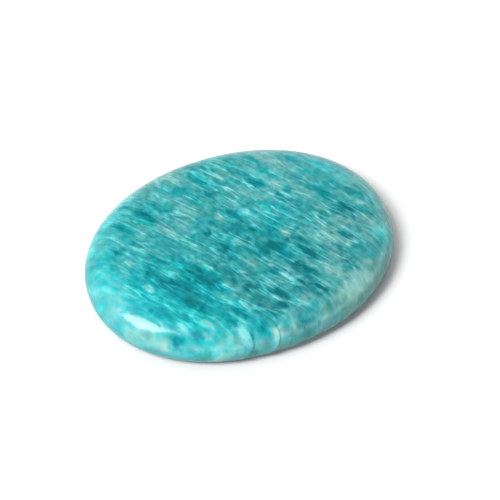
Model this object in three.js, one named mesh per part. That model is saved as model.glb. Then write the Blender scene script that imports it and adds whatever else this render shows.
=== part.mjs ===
import * as THREE from 'three';

// An oval palm stone of polished amazonite, cut from one piece.
// Millimetres, +Z up. X runs along the stone and Y across it.
// The origin is the middle of the flat underside that the stone rests on.

// Driving dimensions
const LENGTH = 65;
const WIDTH = 49;
const THICKNESS = 8;
const WIDEST_HEIGHT = 2.6; // the outline is widest this far above the underside

// Shape of the outline, and the shares of the way from the rim to the middle that the rounded edges take
const OUTLINE_POWER = 2.08; // 2 is a plain ellipse, and more is fuller between the ends and the sides
const UPPER_EDGE_SHARE = 0.2;
const LOWER_EDGE_SHARE = 0.09;
const CROWN_SHARE = 0.12; // how much lower the top face would be at the rim, above the widest height

// Cleavage ledges on the front edge. They follow the stone's layers, which run across it and lean.
const LAYER_STRIKE = THREE.MathUtils.degToRad(-54.3); // on the ground, from the stone's length
const LAYER_DIP = THREE.MathUtils.degToRad(62); // from the ground
const LEDGE_PLACES = [-18.6, -14.8, -10.9, -8.3]; // across the layers, from the origin
const LAST_LEDGE_END = -4.4;
const LEDGE_DEPTH = 0.25;
const LEDGE_FACE = 0.25; // how far across the layers one ledge's step takes

// Fineness of the faceted skin
const COLUMNS = 144;
const LOWER_RINGS = 5;
const UPPER_RINGS = 9;
const TOP_RINGS = 4;
const FRONT_GATHERING = 0.6; // 0 spaces the columns evenly, and more draws them to the front edge

const halfLength = LENGTH / 2;
const halfWidth = WIDTH / 2;

// Height of the skin above the widest level
function upperHeight(share, roundness) {
  const crown = 1 - CROWN_SHARE * share ** 2;
  return WIDEST_HEIGHT + (THICKNESS - WIDEST_HEIGHT) * roundness * crown;
}

// Section from the middle of the underside to the middle of the top, as (share of the way to the outline, height)
function sectionPoints() {
  const points = [new THREE.Vector2(0, 0)];
  const foot = 1 - LOWER_EDGE_SHARE;
  for (let ring = 0; ring < LOWER_RINGS; ring += 1) {
    const turn = ((Math.PI / 2) * ring) / LOWER_RINGS;
    const share = foot + LOWER_EDGE_SHARE * Math.sin(turn);
    points.push(new THREE.Vector2(share, WIDEST_HEIGHT * (1 - Math.cos(turn))));
  }
  const shoulder = 1 - UPPER_EDGE_SHARE;
  for (let ring = 0; ring <= UPPER_RINGS; ring += 1) {
    const turn = ((Math.PI / 2) * ring) / UPPER_RINGS;
    const share = shoulder + UPPER_EDGE_SHARE * Math.cos(turn);
    points.push(new THREE.Vector2(share, upperHeight(share, Math.sin(turn))));
  }
  for (let ring = 1; ring < TOP_RINGS; ring += 1) {
    const share = shoulder * (1 - ring / TOP_RINGS);
    points.push(new THREE.Vector2(share, upperHeight(share, 1)));
  }
  points.push(new THREE.Vector2(0, THICKNESS));
  return points;
}

// Outline point for an angle round the stone, where 0 is its +X end
function outlinePoint(angle) {
  const along = Math.cos(angle);
  const across = Math.sin(angle);
  const sum = Math.abs(along) ** OUTLINE_POWER + Math.abs(across) ** OUTLINE_POWER;
  const reach = sum ** (-1 / OUTLINE_POWER);
  return new THREE.Vector2(halfLength * along * reach, halfWidth * across * reach);
}

// Unit vector across the layers, pointing down and towards the stone's +X end
const layerNormal = new THREE.Vector3(
  -Math.sin(LAYER_DIP) * Math.sin(LAYER_STRIKE),
  Math.sin(LAYER_DIP) * Math.cos(LAYER_STRIKE),
  -Math.cos(LAYER_DIP),
);

// How far the edge is set back past each ledge: a short step down, then a slow climb to the next one
function ledgeRecess(place) {
  const ends = [...LEDGE_PLACES.slice(1), LAST_LEDGE_END];
  for (let ledge = 0; ledge < LEDGE_PLACES.length; ledge += 1) {
    const past = place - LEDGE_PLACES[ledge];
    const span = ends[ledge] - LEDGE_PLACES[ledge];
    if (past > 0 && past < span) {
      const step = Math.min(past / LEDGE_FACE, 1);
      return LEDGE_DEPTH * step * (1 - past / span);
    }
  }
  return 0;
}

function stoneGeometry() {
  const geometry = new THREE.LatheGeometry(sectionPoints(), COLUMNS);
  geometry.rotateX(Math.PI / 2);
  const position = geometry.getAttribute('position');
  const point = new THREE.Vector3();
  for (let i = 0; i < position.count; i += 1) {
    point.fromBufferAttribute(position, i);
    const share = Math.hypot(point.x, point.y);
    const even = Math.atan2(point.y, point.x);
    const angle = even - FRONT_GATHERING * Math.sin(even + Math.PI / 2);
    const rim = outlinePoint(angle);
    point.x = rim.x * share;
    point.y = rim.y * share;
    const edge = Math.max(share - (1 - UPPER_EDGE_SHARE), 0) / UPPER_EDGE_SHARE;
    const front = Math.max(-Math.sin(angle), 0);
    const recess = ledgeRecess(point.dot(layerNormal)) * edge * front;
    const keep = 1 - recess / rim.length();
    position.setXYZ(i, point.x * keep, point.y * keep, point.z);
  }
  geometry.computeVertexNormals();
  return geometry;
}

const stone = new THREE.Mesh(
  stoneGeometry(),
  new THREE.MeshStandardMaterial({ color: 0x4eb0b3, roughness: 0.15, metalness: 0 }),
);
stone.name = 'stone';

const palmStone = new THREE.Group();
palmStone.add(stone);

export default palmStone;
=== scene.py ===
import math

import bpy
import numpy as np
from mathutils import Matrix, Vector


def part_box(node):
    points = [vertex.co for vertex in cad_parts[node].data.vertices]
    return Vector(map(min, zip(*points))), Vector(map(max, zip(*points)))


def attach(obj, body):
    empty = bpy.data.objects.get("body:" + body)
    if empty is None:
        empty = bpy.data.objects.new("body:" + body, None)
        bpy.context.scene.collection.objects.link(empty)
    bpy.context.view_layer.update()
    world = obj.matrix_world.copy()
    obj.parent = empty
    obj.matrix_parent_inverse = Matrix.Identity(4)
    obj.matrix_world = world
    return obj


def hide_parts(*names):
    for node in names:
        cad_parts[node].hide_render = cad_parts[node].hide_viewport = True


# A polished amazonite palm stone on a white table. Blender units are metres, and names that end in _MM are in
# millimetres.

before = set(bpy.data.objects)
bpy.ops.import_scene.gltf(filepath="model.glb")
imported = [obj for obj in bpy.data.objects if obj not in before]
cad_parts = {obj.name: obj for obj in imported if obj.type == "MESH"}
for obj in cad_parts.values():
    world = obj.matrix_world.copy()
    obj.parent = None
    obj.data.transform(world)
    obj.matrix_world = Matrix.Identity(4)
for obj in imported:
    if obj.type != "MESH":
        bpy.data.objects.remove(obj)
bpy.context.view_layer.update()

MM = 0.001

# Sizes of the stone, from the frame
_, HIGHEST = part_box("stone")
HALF_LENGTH = HIGHEST.x
HALF_WIDTH = HIGHEST.y
THICKNESS = HIGHEST.z

# Shape of the outline and of the section, as in the solid
OUTLINE_POWER = 2.08
WIDEST_SHARE = 0.325
UPPER_EDGE_SHARE = 0.2
LOWER_EDGE_SHARE = 0.09
CROWN_SHARE = 0.12

# The layers of the feldspar run across the stone and lean
LAYER_STRIKE = math.radians(-54.3)
LAYER_DIP = math.radians(62)
ALONG = Vector((math.cos(LAYER_STRIKE), math.sin(LAYER_STRIKE), 0))
LEVEL_ACROSS = Vector((-math.sin(LAYER_STRIKE), math.cos(LAYER_STRIKE), 0))
UP = Vector((0, 0, 1))
ACROSS = LEVEL_ACROSS * math.sin(LAYER_DIP) - UP * math.cos(LAYER_DIP)
DEEP = -LEVEL_ACROSS * math.cos(LAYER_DIP) - UP * math.sin(LAYER_DIP)

# Cleavage ledges on the front edge, as places across the layers
LEDGES_MM = (-18.6, -14.8, -10.9, -8.3)
LAST_LEDGE_END_MM = -4.4
LEDGE_DEPTH_MM = 0.25
LEDGE_FACE_MM = 0.25

# How far the mesh's columns are drawn together at the front edge, where the ledges are
FRONT_GATHERING = 0.5

# Camera, from the photograph: where the stone's origin falls in it, and how large the stone is there
IMAGE_PX = 500
ORIGIN_PX = (240.0, 260.7)
PX_PER_MM = 4.828
VIEW_TURN = math.radians(-20.3)
VIEW_RIGHT = Vector((math.cos(VIEW_TURN), math.sin(VIEW_TURN), 0))
AHEAD = Vector((-math.sin(VIEW_TURN), math.cos(VIEW_TURN), 0))
VIEW_HEIGHT = math.radians(55)
VIEW_DISTANCE = 0.45
SENSOR_MM = 36


def section(under_rings, lower_rings, upper_rings, top_rings):
    """Rings of the skin from the bottom to the top, as (share of the way to the outline, height)."""
    widest = THICKNESS * WIDEST_SHARE
    shoulder = 1 - UPPER_EDGE_SHARE
    foot = 1 - LOWER_EDGE_SHARE

    def upper_height(share, roundness):
        return widest + (THICKNESS - widest) * roundness * (1 - CROWN_SHARE * share**2)

    rings = []
    for ring in range(1, under_rings):
        rings.append((foot * ring / under_rings, 0.0))
    for ring in range(lower_rings):
        turn = math.pi / 2 * ring / lower_rings
        rings.append((foot + LOWER_EDGE_SHARE * math.sin(turn), widest * (1 - math.cos(turn))))
    for ring in range(upper_rings + 1):
        turn = math.pi / 2 * ring / upper_rings
        share = shoulder + UPPER_EDGE_SHARE * math.cos(turn)
        rings.append((share, upper_height(share, math.sin(turn))))
    for ring in range(1, top_rings):
        share = shoulder * (1 - ring / top_rings)
        rings.append((share, upper_height(share, 1)))
    return np.array(rings)


def ledge_recess(place):
    """How far the edge is set back at a place across the layers, all in millimetres."""
    recess = np.zeros_like(place)
    ends = (*LEDGES_MM[1:], LAST_LEDGE_END_MM)
    for start, end in zip(LEDGES_MM, ends):
        past = place - start
        span = end - start
        step = np.clip(past / LEDGE_FACE_MM, 0, 1)
        step = step * step * (3 - 2 * step)
        inside = (past > 0) & (past < span)
        recess += np.where(inside, LEDGE_DEPTH_MM * step * (1 - past / span), 0)
    return recess


def outline_points(angle):
    """Points of the outline, where angle 0 is the stone's +X end."""
    power = OUTLINE_POWER
    reach = (abs(np.cos(angle)) ** power + abs(np.sin(angle)) ** power) ** (-1 / power)
    return HALF_LENGTH * np.cos(angle) * reach, HALF_WIDTH * np.sin(angle) * reach


def skin_points(rings, columns):
    """Points of the skin, one row for each ring, without the two poles."""
    even = np.linspace(0, 2 * math.pi, columns, endpoint=False)
    angle = even - FRONT_GATHERING * np.cos(even)
    rim_x, rim_y = outline_points(angle)
    share = rings[:, :1]
    points = np.stack([rim_x * share, rim_y * share, rings[:, 1:] + 0 * rim_x], axis=-1)
    place = points @ np.array(ACROSS) / MM
    edge = np.clip((share - (1 - UPPER_EDGE_SHARE)) / UPPER_EDGE_SHARE, 0, 1)
    front = np.clip(-np.sin(angle), 0, 1)
    keep = 1 - MM * ledge_recess(place) * edge * front / np.hypot(rim_x, rim_y)
    points[..., :2] *= keep[..., None]
    return points


def closed_skin(name, points):
    """A closed mesh from rings of points that run from the bottom to the top."""
    rings, columns, _ = points.shape
    bottom = (0, 0, 0)
    top = (0, 0, THICKNESS)
    corners = [bottom, *points.reshape(-1, 3), top]
    last = len(corners) - 1
    under_top = 1 + (rings - 1) * columns
    faces = []
    for column in range(columns):
        after = (column + 1) % columns
        faces.append((0, 1 + after, 1 + column))
        for ring in range(rings - 1):
            low = 1 + ring * columns
            high = low + columns
            faces.append((low + column, low + after, high + after, high + column))
        faces.append((under_top + column, under_top + after, last))
    mesh = bpy.data.meshes.new(name)
    mesh.from_pydata(corners, [], faces)
    mesh.shade_smooth()
    piece = bpy.data.objects.new(name, mesh)
    bpy.context.scene.collection.objects.link(piece)
    return piece


def linear(red, green, blue, share=1.0):
    """A colour that was read as 0 to 255 screen values, and how much of it to take."""
    made = []
    for value in (red, green, blue):
        level = value / 255
        light = level / 12.92 if level <= 0.04045 else ((level + 0.055) / 1.055) ** 2.4
        made.append(light * share)
    return (*made, 1)


class Shader:
    """Adds nodes to one material or world and links them, so that a pattern reads as a list of steps."""

    def __init__(self, owner):
        owner.use_nodes = True
        self.tree = owner.node_tree
        self.tree.nodes.clear()

    def node(self, kind, **settings):
        made = self.tree.nodes.new("ShaderNode" + kind)
        for key, value in settings.items():
            setattr(made, key, value)
        return made

    def feed(self, socket, value):
        if isinstance(value, bpy.types.NodeSocket):
            self.tree.links.new(value, socket)
        else:
            socket.default_value = value

    def math(self, operation, *values):
        made = self.node("Math", operation=operation)
        for socket, value in zip(made.inputs, values):
            self.feed(socket, value)
        return made.outputs[0]

    def vector(self, operation, *values):
        made = self.node("VectorMath", operation=operation)
        for socket, value in zip(made.inputs, values):
            self.feed(socket, value)
        return made.outputs["Value" if operation in ("LENGTH", "DOT_PRODUCT") else "Vector"]

    def split(self, value):
        made = self.node("SeparateXYZ")
        self.feed(made.inputs[0], value)
        return made.outputs

    def combine(self, x, y, z):
        made = self.node("CombineXYZ")
        for socket, value in zip(made.inputs, (x, y, z)):
            self.feed(socket, value)
        return made.outputs[0]

    def ramp(self, value, low, high, to_low=0.0, to_high=1.0, smooth=True):
        """From one value to another as the input goes from low to high, and level beyond both.

        A smooth one levels off by itself and needs no clamp, which saves a node for each mark on the stone.
        """
        kind = "SMOOTHSTEP" if smooth else "LINEAR"
        made = self.node("MapRange", interpolation_type=kind, clamp=not smooth)
        self.feed(made.inputs["Value"], value)
        self.feed(made.inputs["From Min"], low)
        self.feed(made.inputs["From Max"], high)
        self.feed(made.inputs["To Min"], to_low)
        self.feed(made.inputs["To Max"], to_high)
        return made.outputs["Result"]

    def noise(self, place, detail=1.0, roughness=0.5, colour=False):
        made = self.node("TexNoise")
        self.feed(made.inputs["Vector"], place)
        self.feed(made.inputs["Scale"], 1.0)
        self.feed(made.inputs["Detail"], detail)
        self.feed(made.inputs["Roughness"], roughness)
        return made.outputs["Color" if colour else "Fac"]

    def mix(self, amount, first, second):
        made = self.node("Mix", data_type="RGBA", clamp_factor=True)
        self.feed(made.inputs[0], amount)
        self.feed(made.inputs[6], first)
        self.feed(made.inputs[7], second)
        return made.outputs[2]

    def colours(self, value, stops):
        made = self.node("ValToRGB")
        self.feed(made.inputs[0], value)
        elements = made.color_ramp.elements
        while len(elements) < len(stops):
            elements.new(0.5)
        for element, (place, colour) in zip(elements, stops):
            element.position = place
            element.color = colour
        return made.outputs[0]


# Patches on the top face: middle along and across the layers, half length, half width, and how much paler and
# how much hazier they are
PATCHES_MM = (
    # back left
    (-6.0, 17.3, 2.2, 1.0, -0.15, -0.4),
    (-5.5, 13.6, 2.2, 1.0, -0.30, -0.5),
    (-8.0, 20.5, 5.0, 2.0, 0.15, 0.5),
    (-1.8, 15.5, 1.8, 1.2, 0.10, 0.4),
    (-1.5, 21.0, 3.0, 2.0, 0.10, 0.2),
    # back right
    (1.2, 16.2, 1.3, 1.0, -0.10, -0.3),
    (1.0, 13.5, 1.8, 0.8, -0.35, -0.4),
    (4.7, 14.3, 1.5, 1.0, -0.10, -0.3),
    (6.5, 20.5, 2.5, 1.8, -0.10, -0.3),
    (8.2, 19.0, 1.2, 0.8, -0.10, -0.3),
    (13.5, 19.2, 2.0, 1.0, -0.35, -0.3),
    (11.5, 22.5, 1.5, 1.3, -0.15, 0.0),
    (5.8, 17.9, 2.0, 1.0, 0.15, 0.3),
    (11.3, 14.4, 1.3, 1.2, -0.20, -0.1),
    (17.6, 13.0, 2.0, 0.8, -0.30, -0.1),
    (14.0, 15.0, 3.0, 1.5, 0.10, 0.5),
    (14.0, 12.0, 3.0, 1.5, 0.00, 0.5),
    (20.0, 18.0, 6.0, 5.0, 0.00, 0.25),
    # left
    (-15.5, 7.8, 3.5, 1.5, -0.10, -0.4),
    (-11.5, 5.7, 1.5, 0.8, -0.30, -0.4),
    (-18.0, 2.0, 1.5, 1.0, -0.10, -0.3),
    (-19.5, -6.0, 3.5, 1.3, -0.25, -0.5),
    (-4.5, 4.3, 2.0, 1.3, -0.20, -0.5),
    (-6.2, -2.8, 1.0, 0.9, -0.40, -0.4),
    (-1.2, -4.2, 1.2, 1.2, -0.25, -0.3),
    (-6.5, 2.0, 2.0, 1.0, 0.20, 0.5),
    (-8.0, 1.0, 5.0, 1.5, 0.00, 0.3),
    (-13.0, -1.0, 4.0, 2.5, 0.00, 0.25),
    (-9.3, 9.0, 0.9, 0.7, 0.30, 0.3),
    (-21.5, 6.0, 3.0, 3.5, 0.00, 0.6),
    (-23.5, 0.0, 3.0, 5.0, 0.00, 0.5),
    # right
    (4.3, 6.3, 1.2, 1.1, -0.30, -0.5),
    (10.5, 6.5, 2.5, 0.9, -0.25, -0.4),
    (13.5, 5.0, 3.0, 1.3, -0.40, -0.5),
    (7.0, 2.2, 2.0, 1.0, -0.25, -0.4),
    (9.0, 2.5, 3.5, 2.2, -0.05, -0.35),
    (6.7, 0.2, 1.0, 0.5, -0.30, 0.0),
    (13.0, 1.3, 1.3, 0.6, -0.40, 0.0),
    (15.5, 1.0, 4.0, 1.5, -0.25, -0.1),
    (10.5, -3.0, 1.5, 1.2, -0.15, -0.3),
    (6.0, -3.5, 1.8, 1.3, 0.05, 0.35),
    (15.0, 3.0, 3.0, 0.8, 0.15, 0.4),
    (20.5, 4.2, 2.5, 1.5, 0.20, 0.7),
    (21.0, 8.0, 1.5, 1.0, -0.20, 0.1),
    (20.5, -0.5, 1.5, 0.6, -0.50, 0.0),
    (25.0, 3.0, 2.5, 7.0, 0.15, 0.9),
    (19.0, -4.0, 1.5, 2.0, 0.15, 0.6),
    (7.0, 5.9, 1.0, 1.0, 0.15, 0.4),
    (18.0, 7.3, 2.5, 1.5, 0.00, 0.5),
    # front left
    (-21.5, -11.2, 3.0, 0.9, -0.30, -0.5),
    (-13.5, -7.0, 2.5, 1.5, 0.10, 0.4),
    (-11.0, -13.7, 2.2, 0.9, -0.35, -0.3),
    (-2.5, -12.0, 4.0, 2.2, -0.30, -0.6),
    (-1.3, -13.8, 1.2, 0.6, -0.30, 0.0),
    (-6.5, -17.3, 2.8, 1.4, -0.20, -0.7),
    (-11.5, -16.2, 2.0, 0.8, -0.25, -0.5),
    (-10.3, -17.3, 1.0, 0.6, -0.30, 0.0),
    (-15.0, -17.5, 1.3, 1.2, 0.20, 0.4),
    (-14.5, -20.0, 1.0, 1.2, 0.00, 0.3),
    (-8.0, -20.5, 1.8, 1.0, 0.30, 0.4),
    (-17.0, -20.0, 1.2, 0.8, -0.25, -0.4),
    (-18.8, -16.8, 0.8, 0.6, -0.40, -0.4),
    # front right
    (1.5, -12.0, 2.5, 1.8, -0.30, -0.6),
    (5.5, -10.5, 2.5, 1.0, 0.05, 0.5),
    (8.3, -11.5, 1.5, 0.8, -0.10, 0.4),
    (14.5, -6.4, 2.5, 0.8, -0.45, -0.1),
    (16.5, -8.5, 1.3, 1.0, -0.35, -0.1),
    (8.7, -8.5, 1.3, 1.0, -0.30, 0.0),
    (12.5, -10.5, 4.0, 1.0, 0.00, 0.5),
    (18.3, -13.0, 1.2, 1.5, 0.30, 0.7),
    (11.0, -14.8, 2.0, 0.8, -0.20, -0.5),
    (16.0, -14.3, 1.5, 1.0, -0.05, -0.5),
    (13.3, -17.6, 2.2, 1.3, 0.35, 0.0),
    (12.5, -20.0, 2.0, 1.0, 0.25, 0.0),
    (2.0, -18.5, 3.5, 1.2, -0.30, -0.6),
    (10.0, -17.5, 1.2, 0.8, 0.00, -0.5),
    (21.0, -9.0, 3.0, 2.0, 0.00, 0.3),
    (6.3, -13.5, 2.0, 2.0, 0.10, 0.35),
    # front
    (2.0, -22.0, 2.5, 0.7, -0.25, -0.4),
    (-2.0, -23.5, 2.0, 1.3, -0.20, -0.5),
    (3.0, -23.5, 2.0, 1.0, 0.20, 0.2),
    (6.3, -23.3, 1.5, 1.2, -0.15, -0.6),
    (3.5, -26.3, 1.5, 0.7, -0.30, -0.5),
    (6.5, -20.8, 2.0, 1.0, 0.30, 0.3),
    (-5.0, -24.5, 1.0, 0.8, -0.20, 0.0),
    (0.0, -16.0, 13.0, 7.0, 0.00, -0.38),
    # broad shades
    (-4.0, 16.5, 5.0, 3.5, 0.20, 0.0),
    (6.0, 25.5, 7.0, 2.5, 0.18, -0.3),
    (13.0, 18.5, 2.5, 2.0, -0.20, 0.0),
    (9.0, 2.0, 9.0, 8.0, -0.12, 0.0),
    (18.5, -2.0, 4.0, 3.0, -0.25, 0.0),
    (25.0, 5.0, 2.5, 8.0, 0.30, 0.2),
    (22.0, 19.0, 3.0, 3.0, 0.22, 0.0),
    (6.0, -8.5, 8.0, 2.5, -0.20, 0.0),
    (-1.0, -16.5, 6.0, 3.0, -0.25, -0.1),
    (-8.0, -18.5, 4.0, 2.0, -0.10, -0.2),
    (-15.5, -6.0, 3.0, 1.5, -0.18, 0.0),
    (-19.0, 11.0, 4.0, 2.5, -0.12, 0.0),
    (20.0, -11.0, 4.0, 3.5, 0.17, 0.0),
    (-3.0, 6.0, 1.5, 1.2, 0.30, 0.0),
    (-4.0, -23.0, 14.0, 4.0, 0.00, -0.4),
    (2.0, 9.0, 5.0, 8.0, 0.00, -0.25),
    (14.0, -15.0, 5.0, 3.0, 0.00, -0.3),
    (5.0, -3.0, 3.0, 1.5, 0.00, 0.2),
    (8.0, 23.0, 14.0, 5.0, 0.00, -0.2),
    (0.0, 24.5, 6.0, 2.5, 0.12, 0.0),
    (-7.0, 21.5, 5.0, 2.5, 0.06, 0.2),
    (7.5, 24.0, 6.0, 1.8, 0.00, 0.3),
    (-21.0, 3.5, 3.0, 5.0, 0.12, 0.1),
    (21.0, -3.5, 3.0, 2.0, 0.18, 0.1),
    (-17.0, -21.0, 5.0, 2.5, 0.10, 0.0),
    (13.5, -10.0, 4.5, 3.5, -0.18, -0.1),
    (23.5, 6.0, 2.5, 4.0, -0.12, 0.2),
    (21.0, 0.0, 2.5, 1.2, -0.10, 0.2),
    (18.0, 10.0, 4.0, 3.5, 0.00, 0.2),
    (2.0, -20.0, 8.0, 5.0, 0.00, -0.15),
    (-1.0, 0.0, 9.0, 7.0, -0.07, -0.12),
    (-13.4, -25.1, 6.0, 3.0, 0.10, 0.25),
)
# Streaks on the top face, in the same way, with how much paler they are
STREAKS_MM = (
    (2.5, 7.7, 5.0, 0.30, 0.40),
    (8.5, 7.8, 3.0, 0.25, 0.35),
    (15.5, 7.2, 2.5, 0.30, 0.35),
    (10.5, 8.9, 3.0, 0.20, 0.25),
    (5.0, 4.5, 4.0, 0.30, 0.25),
    (10.0, 4.5, 2.0, 0.20, 0.25),
    (3.5, 8.5, 2.0, 0.25, -0.35),
    (8.2, 8.5, 0.8, 0.40, -0.50),
    (1.5, 1.2, 4.0, 0.30, 0.25),
    (1.5, 0.5, 0.6, 0.25, -0.40),
    (3.0, -0.6, 5.0, 0.35, 0.25),
    (10.5, -0.9, 4.0, 0.30, 0.20),
    (14.0, -2.4, 4.0, 0.35, 0.35),
    (13.0, -1.4, 2.0, 0.20, -0.35),
    (16.0, -1.7, 1.0, 0.25, -0.30),
    (3.5, -4.1, 3.5, 0.40, 0.35),
    (-3.5, -4.9, 1.5, 0.40, 0.30),
    (4.0, -5.5, 2.0, 0.50, -0.30),
    (22.5, -1.2, 2.0, 0.30, 0.30),
    (8.5, 5.2, 0.7, 0.25, -0.40),
    (8.0, 1.1, 1.5, 0.35, 0.30),
    (2.0, 12.4, 2.0, 0.35, 0.35),
    (6.5, 12.3, 3.0, 0.30, 0.25),
    (10.7, 12.4, 0.9, 0.35, 0.35),
    (4.0, 11.4, 2.0, 0.35, -0.35),
    (3.0, 10.4, 5.0, 0.35, 0.30),
    (9.0, 13.2, 2.0, 0.30, 0.30),
    (18.0, 14.4, 3.0, 0.35, 0.35),
    (15.0, 10.7, 3.0, 0.30, 0.30),
    (17.0, 12.9, 1.5, 0.30, -0.40),
    (15.2, 11.8, 0.7, 0.30, -0.30),
    (22.0, 16.5, 2.5, 0.35, 0.25),
    (-14.5, 6.2, 3.0, 0.25, 0.35),
    (-5.0, 9.9, 3.0, 0.25, 0.25),
    (-5.5, 7.8, 0.9, 0.30, -0.35),
    (-6.0, 6.8, 2.5, 0.40, 0.30),
    (-21.5, -3.7, 3.0, 0.30, 0.30),
    (-16.5, -4.2, 3.0, 0.30, 0.30),
    (-19.0, -2.5, 2.5, 0.25, 0.20),
    (-3.0, 0.5, 3.0, 0.20, -0.25),
    (-6.0, 12.2, 4.5, 0.30, 0.25),
    (-10.5, 10.8, 4.0, 0.30, 0.30),
    (-13.0, 10.4, 3.0, 0.30, 0.25),
    (-7.0, -7.5, 3.5, 0.30, 0.35),
    (-4.0, -9.2, 3.0, 0.35, 0.35),
    (-19.0, -9.9, 5.0, 0.25, 0.40),
    (-20.5, -9.0, 0.8, 0.30, -0.40),
    (-10.5, -11.0, 2.3, 0.30, 0.30),
    (-5.5, -14.7, 3.0, 0.30, 0.40),
    (1.0, -14.9, 4.0, 0.30, 0.40),
    (-16.3, -15.8, 1.2, 0.40, 0.60),
    (-13.0, -16.1, 2.5, 0.25, 0.30),
    (-3.0, -17.8, 2.5, 0.30, 0.35),
    (-1.5, -16.9, 2.0, 0.20, 0.25),
    (-2.0, -19.0, 2.5, 0.25, 0.30),
    (-8.7, -17.6, 1.0, 0.30, 0.25),
    (-13.8, -12.6, 0.9, 0.50, 0.25),
    (14.5, -7.5, 3.0, 0.35, 0.40),
    (10.5, -16.2, 3.5, 0.35, 0.35),
    (3.0, -16.8, 3.0, 0.30, 0.35),
    (3.0, -11.3, 1.0, 0.50, 0.30),
    (8.5, -9.5, 1.5, 0.30, -0.35),
    (2.0, -20.4, 3.0, 0.35, 0.40),
    (0.5, -15.8, 2.0, 0.25, -0.30),
    (-15.0, -24.2, 4.0, 0.50, 0.35),
    (5.5, -21.2, 1.5, 0.50, 0.30),
    (-2.5, -21.8, 1.5, 0.40, 0.25),
)

# Spots on the edge: turn round the outline in degrees, height, reach, and how much paler, hazier and bluer
RIM_SPOTS_MM = (
    # left end
    (165, 5.0, 3.5, -0.12, 0.0, 0.0),
    (180, 5.0, 3.5, -0.08, 0.0, 0.0),
    # front left, round the highlight: the paler, hazier spots below it are partly the stone's own mottling
    # and partly a painted reflection of the white table
    (198, 4.6, 2.5, 0.00, 0.3, 0.0),
    (212, 4.9, 2.6, 0.05, 0.5, -0.3),
    (219, 5.0, 2.4, 0.05, 0.5, -0.5),
    (226, 4.8, 2.0, 0.05, 0.6, -0.5),
    (223, 6.9, 0.8, -0.15, -0.4, 0.3),
    # front
    (230, 5.8, 1.6, -0.22, -1.0, 0.7),
    (230, 7.4, 1.2, 0.15, 0.3, 0.3),
    (236, 7.1, 1.4, -0.10, -0.9, 0.4),
    (238, 5.5, 1.0, 0.10, 0.6, 0.4),
    (242, 6.9, 1.3, 0.10, 0.5, 0.3),
    (242, 3.6, 1.8, -0.25, -0.2, -1.4),
    (245, 5.0, 3.5, 0.18, 0.0, 0.0),
    (248, 5.8, 1.5, 0.00, 0.3, 0.0),
    (249, 3.3, 1.8, 0.02, 0.1, -1.0),
    (251, 7.6, 1.5, -0.18, -0.8, 0.1),
    (253, 6.2, 1.5, 0.05, 0.4, 0.3),
    (257, 6.8, 1.2, 0.13, 0.2, 0.2),
    (259, 2.7, 1.8, -0.45, -0.2, -1.2),
    # between the ledges
    (264, 7.2, 1.5, -0.30, -0.5, 0.3),
    (264, 4.6, 1.6, -0.10, 0.5, 0.0),
    (268, 5.9, 1.0, -0.04, 0.2, 0.0),
    (271, 2.5, 1.5, -0.15, 0.5, -0.8),
    (274, 5.6, 1.8, -0.20, 0.4, 0.0),
    (279, 4.8, 2.8, -0.34, -0.2, -0.8),
    # right, where the stone is chalky
    (291, 6.1, 2.0, -0.08, 0.3, -0.5),
    (298, 6.5, 2.5, 0.00, 1.3, -0.8),
    (303, 6.0, 2.0, 0.00, 1.3, -0.8),
    (310, 5.7, 2.0, -0.05, 1.3, -0.9),
    (320, 6.0, 2.0, -0.08, 1.1, -0.8),
    (300, 3.5, 2.5, 0.10, 1.3, -0.9),
    (315, 3.5, 2.5, 0.05, 1.3, -0.9),
    (330, 4.0, 2.5, 0.03, 0.4, -0.6),
    (338, 5.5, 4.0, 0.03, -0.8, -0.3),
)

# Screen colours from the darkest tone to the palest, of the stone where it is clear and where it is hazy
CLEAR_COLOURS = ((0, 110, 117), (0, 137, 144), (12, 164, 169), (46, 192, 197), (88, 220, 225))
HAZY_COLOURS = ((10, 110, 112), (50, 137, 137), (93, 164, 163), (132, 192, 188), (164, 220, 213))
COLOUR_SHARE = 0.83

# Patterns of the grain: how fast each noise changes in a millimetre along the layers, down them and across
# them, and a seed that sets it apart from the others
DASHES = ((0.11, 0.13, 0.85), 5.3)
MOTTLE = ((0.75, 0.75, 1.05), 4.4)
BLOTS = ((0.45, 0.45, 0.45), 1.7)
LINES = ((0.075, 0.10, 0.60), 3.1)
FINE_LINES = ((0.12, 0.12, 0.95), 7.7)
CLOUDS = ((0.20, 0.20, 0.40), 9.1)
BLOCKS = ((0.5, 0.5, 0.8), 2.2)
TINT = ((0.4, 0.4, 0.6), 6.4)

# How thin the lines are, how fast they fade in and out, and the noise values where they are lost and whole
LINE_THINNESS = 0.05
FADING_PACE = (0.2, 0.2, 0.35)
FADING = (0.40, 0.55)

# How the layers wave and how the borders of the patches fray: how fast that changes in a millimetre, and
# twice its reach in millimetres
WAVES = ((0.12, 0.12, 0.22), (2.0, 2.0, 0.9))
FRAYING = ((0.6, 0.6, 1.3), (3.0, 3.0, 1.2))

# Parts of the stone: where each one starts and where it is full, as shares of the way out to the outline. The
# pale and lit side, round the left end, lies outside a circle round a point of its own. Its colour is partly
# the stone's own and partly painted light where the lamps fall on that end.
PALE_AND_LIT_SIDE_CENTRE = (0.40, 0.15, 0)
PALE_AND_LIT_SIDE = (0.95, 1.35)
EDGE = (0.77, 0.94)
BACK_RIGHT = (0.45, 0.95)
FRONT = (-0.3, 0.3)

# How much each pattern changes the tone, which is 0 at the darkest colour and 1 at the palest
MEAN_TONE = 0.41
DASHES_TONE = 0.34
MOTTLE_TONE = 0.80
LINES_TONE = 0.36
FINE_LINES_TONE = 0.12
CLOUDS_TONE = 0.35
BLOTS_TONE = 0.5
# The pale and lit side is partly painted light: paler and clearer where the lamps fall on the left end
PALE_AND_LIT_SIDE_TONE = 0.22

# How much each pattern changes the haze, which is 0 where the stone is clear and 1 where it is hazy
MEAN_HAZE = 0.45
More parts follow.
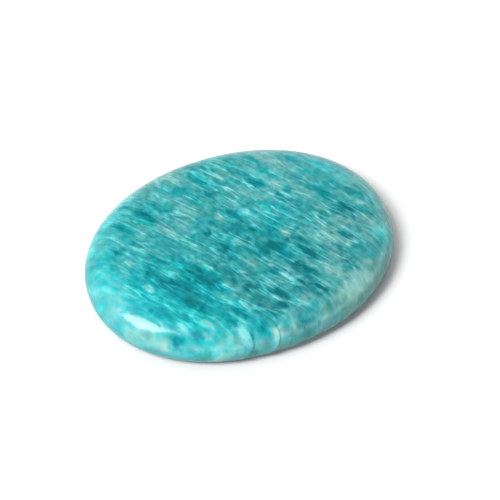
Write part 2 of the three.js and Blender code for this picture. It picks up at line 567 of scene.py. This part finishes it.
# Hazier towards the right end: partly the stone's own haze, partly a painted sheen of the white surroundings
RIGHT_END_HAZE_AND_SHEEN = 0.22
CLOUDS_HAZE = 1.1
BLOCKS_HAZE = 1.0
# Painted light again: the pale and lit side is made a little clearer
PALE_AND_LIT_SIDE_HAZE = -0.1

# The hue that leaves the colours as they are, how far it swings, and what a spot that is bluer by 1 adds
PLAIN_HUE = 0.5
TINT_HUE = 0.05
BLUER_HUE = 0.02

# How much of the grain is lost in three parts of the stone
BACK_RIGHT_CALM = 0.5
PALE_AND_LIT_SIDE_CALM = 0.4
FRONT_EDGE_CALM = 0.75

# How strongly patches and streaks show, and the shares of a spot's size where it starts to fade and ends
PATCH_STRENGTH = 0.95
STREAK_STRENGTH = 0.55
SPOT_FADING = (0.35, 1.25)

# Spots on the top face lie this far under its crown and reach at least this far down the layers
TOP_SPOT_DROP_MM = 0.3
TOP_SPOT_DEPTH_MM = 4.0

# Painted light and shade down the front edge by the two clearest ledges: a pale line on the ledge's corner,
# where it catches the light, and a dark one on its step, which lies in shade. For each: how far past the
# ledge, half width, how much paler. Then their half length and half depth, and how far along the layers
# they are from the middle of the edge.
LEDGE_LIGHT_AND_SHADE_LINES_MM = ((-0.35, 0.45, 0.07), (0.15, 0.28, -0.3))
LEDGE_LINE_HALF_LENGTH_MM = 3.2
LEDGE_LINE_HALF_DEPTH_MM = 6.5
LEDGE_LINE_SHIFT_MM = -1.0

# The painted shade low on the edge, where the table and the lamps leave it darker: how dark it is on the lit
# side and on the far one, the heights where it starts at the back and at the front, and those where it ends
# on the left and on the right. The underside has none.
# The reaches and the underside's end are the shares of the way out to the outline between which that changes.
FAR_SIDE = VIEW_RIGHT * 0.8 - AHEAD * 0.6
FAR_SIDE_REACH = (-0.3, 0.9)
RIGHT_REACH = (0.2, 1.0)
PAINTED_EDGE_SHADES = (0.65, 0.38)
SHADE_STARTS = (0.32 * THICKNESS, 0.12 * THICKNESS)
SHADE_ENDS = (0.50 * THICKNESS, 0.80 * THICKNESS)
UNDERSIDE_END = (0.75, 0.92)

# The polish is softer where the dashes are pale and on the edge, and a little uneven
REFRACTION = 1.53
SHEEN_LEVEL = 0.32
GLOSS_WEIGHT = 0.3
GLOSS_ROUGHNESS = 0.12
DASHES_RANGE = (0.40, 0.60)
FACE_ROUGHNESS = (0.17, 0.28)
EDGE_ROUGHNESS = 0.08
BUMP_STRENGTH = 0.35
BUMP_HEIGHT = 0.2 * MM
BLOTS_BUMP = 1.5


def front_rim_point(across):
    """The point half way up the front edge where a layer comes out, in millimetres."""
    steps = 2000
    rim_x, rim_y = outline_points(np.linspace(-0.95 * math.pi, 0, steps))
    points = np.stack([rim_x, rim_y, 0 * rim_x + THICKNESS / 2], axis=-1) / MM
    nearest = abs(points @ np.array(ACROSS) - across).argmin()
    return Vector(points[nearest])


class StoneShader(Shader):
    """Adds the patterns and marks of the layered stone, worked out from where a point lies in it."""

    def __init__(self, material):
        super().__init__(material)
        self.point = self.node("TexCoord").outputs["Object"]
        self.place = self.layer_place()
        self.outline = self.vector("MULTIPLY", self.point, (1 / HALF_LENGTH, 1 / HALF_WIDTH, 0))
        self.waved = self.moved(*WAVES, detail=1.0)
        self.frayed = self.moved(*FRAYING, detail=2.0)
        self.dashes = self.pattern(self.waved, *DASHES)
        self.mottle = self.pattern(self.place, *MOTTLE, detail=2.0, roughness=0.4)
        self.blots = self.pattern(self.place, *BLOTS)
        self.clouds = self.pattern(self.waved, *CLOUDS)
        from_centre = self.vector("SUBTRACT", self.outline, PALE_AND_LIT_SIDE_CENTRE)
        # The pale and lit side: partly the stone's own paler colour, partly painted light from the lamps on
        # the left
        self.pale_and_lit_side = self.ramp(self.vector("LENGTH", from_centre), *PALE_AND_LIT_SIDE)
        self.edge = self.ramp(self.vector("LENGTH", self.outline), *EDGE)
        self.to_front = self.vector("DOT_PRODUCT", self.outline, -AHEAD)

    def layer_place(self):
        """A point's place in millimetres along the layers, down them and across them."""
        scaled = self.vector("MULTIPLY", self.point, (1 / MM,) * 3)
        return self.combine(*(self.vector("DOT_PRODUCT", scaled, axis) for axis in (ALONG, DEEP, ACROSS)))

    def moved(self, pace, reach, detail):
        """The place moved about by a noise, so that what is drawn there isn't straight."""
        noise = self.noise(self.vector("MULTIPLY", self.place, pace), detail, colour=True)
        shift = self.vector("MULTIPLY", self.vector("SUBTRACT", noise, (0.5,) * 3), reach)
        return self.vector("ADD", self.place, shift)

    def pattern(self, place, pace, seed, detail=1.0, roughness=0.5):
        """A noise that changes at its own pace along the layers, down them and across them."""
        moved_on = self.vector("MULTIPLY_ADD", place, pace, (seed, 2 * seed, 3 * seed))
        return self.noise(moved_on, detail, roughness)

    def streak_lines(self, pace, seed):
        """Thin lines that run along the layers and branch: the places where a pattern is half way."""
        level = self.pattern(self.waved, pace, seed, detail=2.0)
        away = self.math("ABSOLUTE", self.math("SUBTRACT", level, 0.5))
        return self.ramp(away, 0.0, LINE_THINNESS, 1.0, 0.0)

    def swing(self, value, reach):
        """A noise value as a change of up to about half the reach either way."""
        return self.math("MULTIPLY", self.math("SUBTRACT", value, 0.5), reach)

    def weakened(self, value, mask, share):
        """The value with a share of it taken away where a mask is 1."""
        return self.math("MULTIPLY", value, self.math("MULTIPLY_ADD", mask, -share, 1.0))

    def grain_strength(self):
        to_back_right = self.vector("DOT_PRODUCT", self.outline, (0.7, 0.7, 0))
        strength = self.ramp(to_back_right, *BACK_RIGHT, 1.0, 1 - BACK_RIGHT_CALM)
        strength = self.weakened(strength, self.pale_and_lit_side, PALE_AND_LIT_SIDE_CALM)
        front_edge = self.math("MULTIPLY", self.edge, self.ramp(self.to_front, *FRONT))
        return self.weakened(strength, front_edge, FRONT_EDGE_CALM)

    def grain_tone(self):
        lines = self.streak_lines(*LINES)
        fine_lines = self.streak_lines(*FINE_LINES)
        fading = self.ramp(self.noise(self.vector("MULTIPLY", self.place, FADING_PACE)), *FADING)
        strength = self.grain_strength()
        grain = self.swing(self.dashes, DASHES_TONE)
        grain = self.math("ADD", grain, self.swing(self.mottle, MOTTLE_TONE))
        grain = self.math("MULTIPLY_ADD", self.math("MULTIPLY", lines, fading), LINES_TONE, grain)
        grain = self.math("MULTIPLY_ADD", fine_lines, FINE_LINES_TONE, grain)
        tone = self.math("MULTIPLY_ADD", grain, strength, MEAN_TONE)
        tone = self.math("ADD", tone, self.swing(self.clouds, CLOUDS_TONE))
        tone = self.math("MULTIPLY_ADD", self.edge, self.swing(self.blots, BLOTS_TONE), tone)
        # Paler on the pale and lit side, partly painted light
        return self.math("MULTIPLY_ADD", self.pale_and_lit_side, PALE_AND_LIT_SIDE_TONE, tone)

    def grain_haze(self):
        to_right_end = self.vector("DOT_PRODUCT", self.outline, (1, 0, 0))
        blocks = self.pattern(self.waved, *BLOCKS)
        # The right end hazier, partly the stone's own haze and partly painted sheen
        haze = self.math("MULTIPLY_ADD", to_right_end, RIGHT_END_HAZE_AND_SHEEN, MEAN_HAZE)
        haze = self.math("ADD", haze, self.swing(self.clouds, CLOUDS_HAZE))
        haze = self.math("ADD", haze, self.swing(blocks, BLOCKS_HAZE))
        return self.math("MULTIPLY_ADD", self.pale_and_lit_side, PALE_AND_LIT_SIDE_HAZE, haze)

    def grain_hue(self):
        tint = self.pattern(self.place, *TINT)
        return self.math("ADD", self.swing(tint, TINT_HUE), PLAIN_HUE)

    def spot(self, place, centre, size):
        """1 in the middle of an ellipsoid, falling softly to 0 a little outside it."""
        shrink = [1 / reach for reach in size]
        shift = [-middle / reach for middle, reach in zip(centre, size)]
        share = self.vector("LENGTH", self.vector("MULTIPLY_ADD", place, shrink, shift))
        return self.ramp(share, *SPOT_FADING, 1.0, 0.0)

    def top_spot(self, place, along, level, half_length, half_width):
        """A spot on the top face that follows the layers down into the stone."""
        middle = LEVEL_ACROSS * level + UP * (THICKNESS / MM - TOP_SPOT_DROP_MM)
        centre = (along, middle.dot(DEEP), middle.dot(ACROSS))
        half_depth = max(half_length, TOP_SPOT_DEPTH_MM)
        return self.spot(place, centre, (half_length, half_depth, half_width * math.sin(LAYER_DIP)))

    def rim_spot(self, turn, height, reach):
        """A round spot on the edge."""
        rings = section(under_rings=2, lower_rings=20, upper_rings=40, top_rings=2)
        share = np.interp(height * MM, rings[:, 1], rings[:, 0])
        rim_x, rim_y = outline_points(math.radians(turn))
        middle = Vector((rim_x * share, rim_y * share, height * MM)) / MM
        centre = (middle.dot(ALONG), middle.dot(DEEP), middle.dot(ACROSS))
        return self.spot(self.frayed, centre, (reach,) * 3)

    def ledge_light_and_shade_line(self, ledge, past, half_width):
        """A line of painted light or shade down the front edge, a little past a ledge or before it."""
        middle = front_rim_point(ledge)
        centre = (middle.dot(ALONG) + LEDGE_LINE_SHIFT_MM, middle.dot(DEEP), ledge + past)
        size = (LEDGE_LINE_HALF_LENGTH_MM, LEDGE_LINE_HALF_DEPTH_MM, half_width)
        return self.spot(self.place, centre, size)

    def paint(self, painted, mask, change):
        """Adds a change of tone, haze and hue where a mask is 1."""
        return self.vector("MULTIPLY_ADD", self.combine(mask, mask, mask), change, painted)

    def marks(self):
        """The changes of tone, haze and hue that all patches, streaks, spots and lines make together.

        They start from a constant, and the grain is added afterwards, so each mask is used as soon as it is
        made. If all of them had to be kept, the renderer would run out of room and show the stone black.
        """
        painted = (0, 0, 0)
        for *spot, paler, hazier in PATCHES_MM:
            change = (PATCH_STRENGTH * paler, PATCH_STRENGTH * hazier, 0)
            painted = self.paint(painted, self.top_spot(self.frayed, *spot), change)
        for *spot, paler in STREAKS_MM:
            change = (STREAK_STRENGTH * paler, 0, 0)
            painted = self.paint(painted, self.top_spot(self.waved, *spot), change)
        for *spot, paler, hazier, bluer in RIM_SPOTS_MM:
            change = (paler, hazier, BLUER_HUE * bluer)
            painted = self.paint(painted, self.rim_spot(*spot), change)
        # Painted light and shade lines by the two clearest ledges
        for ledge in LEDGES_MM[:2]:
            for past, half_width, paler in LEDGE_LIGHT_AND_SHADE_LINES_MM:
                painted = self.paint(painted, self.ledge_light_and_shade_line(ledge, past, half_width), (paler, 0, 0))
        return painted

    def screen_ramp(self, value, colours):
        last = len(colours) - 1
        stops = [(place / last, linear(*colour, share=COLOUR_SHARE)) for place, colour in enumerate(colours)]
        return self.colours(value, stops)

    def stone_colour(self):
        tone = self.grain_tone()
        haze = self.grain_haze()
        hue = self.grain_hue()
        paler, hazier, bluer = self.split(self.marks())
        tone = self.math("ADD", tone, paler)
        haze = self.math("ADD", haze, hazier)
        hue = self.math("ADD", hue, bluer)
        clear = self.screen_ramp(tone, CLEAR_COLOURS)
        hazy = self.screen_ramp(tone, HAZY_COLOURS)
        tinted = self.node("HueSaturation")
        self.feed(tinted.inputs["Hue"], hue)
        self.feed(tinted.inputs["Color"], self.mix(haze, clear, hazy))
        return tinted.outputs[0]

    def painted_edge_shade(self):
        """Painted shade low on the edge near the table, darkest on the side away from the lamps.

        It is 1 everywhere else.
        """
        # Painted shade: the far side from the lamps and the foot of the edge are darkened
        to_far_side = self.vector("DOT_PRODUCT", self.outline, FAR_SIDE)
        deepest = self.ramp(to_far_side, *FAR_SIDE_REACH, *PAINTED_EDGE_SHADES)
        to_right = self.vector("DOT_PRODUCT", self.outline, VIEW_RIGHT)
        start = self.ramp(self.to_front, 0.0, 1.0, *SHADE_STARTS)
        end = self.ramp(to_right, *RIGHT_REACH, *SHADE_ENDS)
        underside = self.ramp(self.vector("LENGTH", self.outline), *UNDERSIDE_END, 1.0, 0.0)
        shade = self.ramp(self.split(self.point)["Z"], start, end, deepest, 1.0, smooth=False)
        return self.math("MAXIMUM", shade, underside)

    def polish(self, surface):
        surface.inputs["IOR"].default_value = REFRACTION
        surface.inputs["Specular IOR Level"].default_value = SHEEN_LEVEL
        surface.inputs["Coat Weight"].default_value = GLOSS_WEIGHT
        surface.inputs["Coat Roughness"].default_value = GLOSS_ROUGHNESS
        roughness = self.ramp(self.dashes, *DASHES_RANGE, *FACE_ROUGHNESS)
        roughness = self.math("MULTIPLY_ADD", self.edge, EDGE_ROUGHNESS, roughness)
        self.feed(surface.inputs["Roughness"], roughness)
        bump = self.node("Bump")
        bump.inputs["Strength"].default_value = BUMP_STRENGTH
        bump.inputs["Distance"].default_value = BUMP_HEIGHT
        fine = self.math("ADD", self.dashes, self.mottle)
        self.feed(bump.inputs["Height"], self.math("MULTIPLY_ADD", self.blots, BLOTS_BUMP, fine))
        self.feed(surface.inputs["Normal"], bump.outputs[0])


def amazonite():
    material = bpy.data.materials.new("amazonite")
    shader = StoneShader(material)
    colour = shader.stone_colour()
    shade = shader.painted_edge_shade()
    # The colour darkened by the painted shade low on the edge
    shaded = shader.vector("MULTIPLY", colour, shader.combine(shade, shade, shade))
    surface = shader.node("BsdfPrincipled")
    shader.feed(surface.inputs["Base Color"], shaded)
    shader.polish(surface)
    output = shader.node("OutputMaterial")
    shader.feed(output.inputs["Surface"], surface.outputs[0])
    return material


def make_stone():
    rings = section(under_rings=14, lower_rings=14, upper_rings=32, top_rings=60)
    stone = closed_skin("polished_stone", skin_points(rings, columns=560))
    stone.data.materials.append(amazonite())
    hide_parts("stone")
    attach(stone, "root")


def make_floor():
    reach = 1.5
    mesh = bpy.data.meshes.new("table_top")
    corners = [(-reach, -reach, 0), (reach, -reach, 0), (reach, reach, 0), (-reach, reach, 0)]
    mesh.from_pydata(corners, [], [(0, 1, 2, 3)])
    floor = bpy.data.objects.new("table_top", mesh)
    bpy.context.scene.collection.objects.link(floor)
    material = bpy.data.materials.new("white_table")
    shader = Shader(material)
    surface = shader.node("BsdfPrincipled")
    surface.inputs["Base Color"].default_value = linear(232, 232, 232)
    surface.inputs["Roughness"].default_value = 0.9
    surface.inputs["Specular IOR Level"].default_value = 0.1
    output = shader.node("OutputMaterial")
    shader.feed(output.inputs["Surface"], surface.outputs[0])
    mesh.materials.append(material)


def make_sky():
    """A plain studio, dark overhead and white low down all round, most so behind the camera on the right."""
    brightest = 3.6
    dimmest = 1.1
    overhead = 0.08
    bright_up_to = 0.2
    dark_from = 0.45
    world = bpy.data.worlds.new("studio")
    bpy.context.scene.world = world
    shader = Shader(world)
    direction = shader.node("TexCoord").outputs["Generated"]
    background = shader.node("Background")
    away = shader.vector("DOT_PRODUCT", direction, AHEAD * 0.7 - VIEW_RIGHT * 0.7)
    horizon = shader.ramp(away, -1, 1, brightest, dimmest, smooth=False)
    height = shader.split(direction)["Z"]
    strength = shader.ramp(height, bright_up_to, dark_from, horizon, overhead)
    shader.feed(background.inputs["Strength"], strength)
    output = shader.node("OutputWorld")
    shader.feed(output.inputs["Surface"], background.outputs[0])


def make_lamp(name, direction, distance, size, power, mirrored=True):
    """A soft lamp that shines at the stone from a direction given as the camera's right, ahead and up.

    One that isn't mirrored lights the stone without showing in its polish.
    """
    data = bpy.data.lights.new(name, "AREA")
    data.shape = "RECTANGLE"
    data.size, data.size_y = size
    data.energy = power
    lamp = bpy.data.objects.new(name, data)
    way = VIEW_RIGHT * direction[0] + AHEAD * direction[1] + UP * direction[2]
    way.normalize()
    lamp.location = way * distance
    lamp.rotation_mode = "QUATERNION"
    lamp.rotation_quaternion = way.to_track_quat("Z", "Y")
    lamp.visible_glossy = mirrored
    bpy.context.scene.collection.objects.link(lamp)


def make_camera():
    data = bpy.data.cameras.new("camera")
    camera = bpy.data.objects.new("camera", data)
    data.sensor_width = SENSOR_MM
    data.lens = PX_PER_MM * VIEW_DISTANCE / MM * SENSOR_MM / IMAGE_PX
    back = UP * math.sin(VIEW_HEIGHT) - AHEAD * math.cos(VIEW_HEIGHT)
    over = back.cross(VIEW_RIGHT)
    aside = (IMAGE_PX / 2 - ORIGIN_PX[0]) / PX_PER_MM * MM
    above = (ORIGIN_PX[1] - IMAGE_PX / 2) / PX_PER_MM * MM
    target = VIEW_RIGHT * aside + over * above
    camera.location = target + back * VIEW_DISTANCE
    camera.rotation_mode = "QUATERNION"
    camera.rotation_quaternion = back.to_track_quat("Z", "Y")
    bpy.context.scene.collection.objects.link(camera)
    bpy.context.scene.camera = camera


bpy.context.scene.view_settings.view_transform = "Standard"
make_stone()
make_floor()
make_sky()
make_lamp("key", direction=(-0.53, -0.25, 0.82), distance=0.9, size=(0.34, 0.50), power=7.4)
make_lamp("glint", direction=(-0.52, -0.30, 0.80), distance=0.9, size=(0.12, 0.12), power=0.8)
make_lamp("fill", direction=(-0.28, 0.48, 0.80), distance=1.0, size=(1.6, 1.6), power=8.9, mirrored=False)
make_camera()
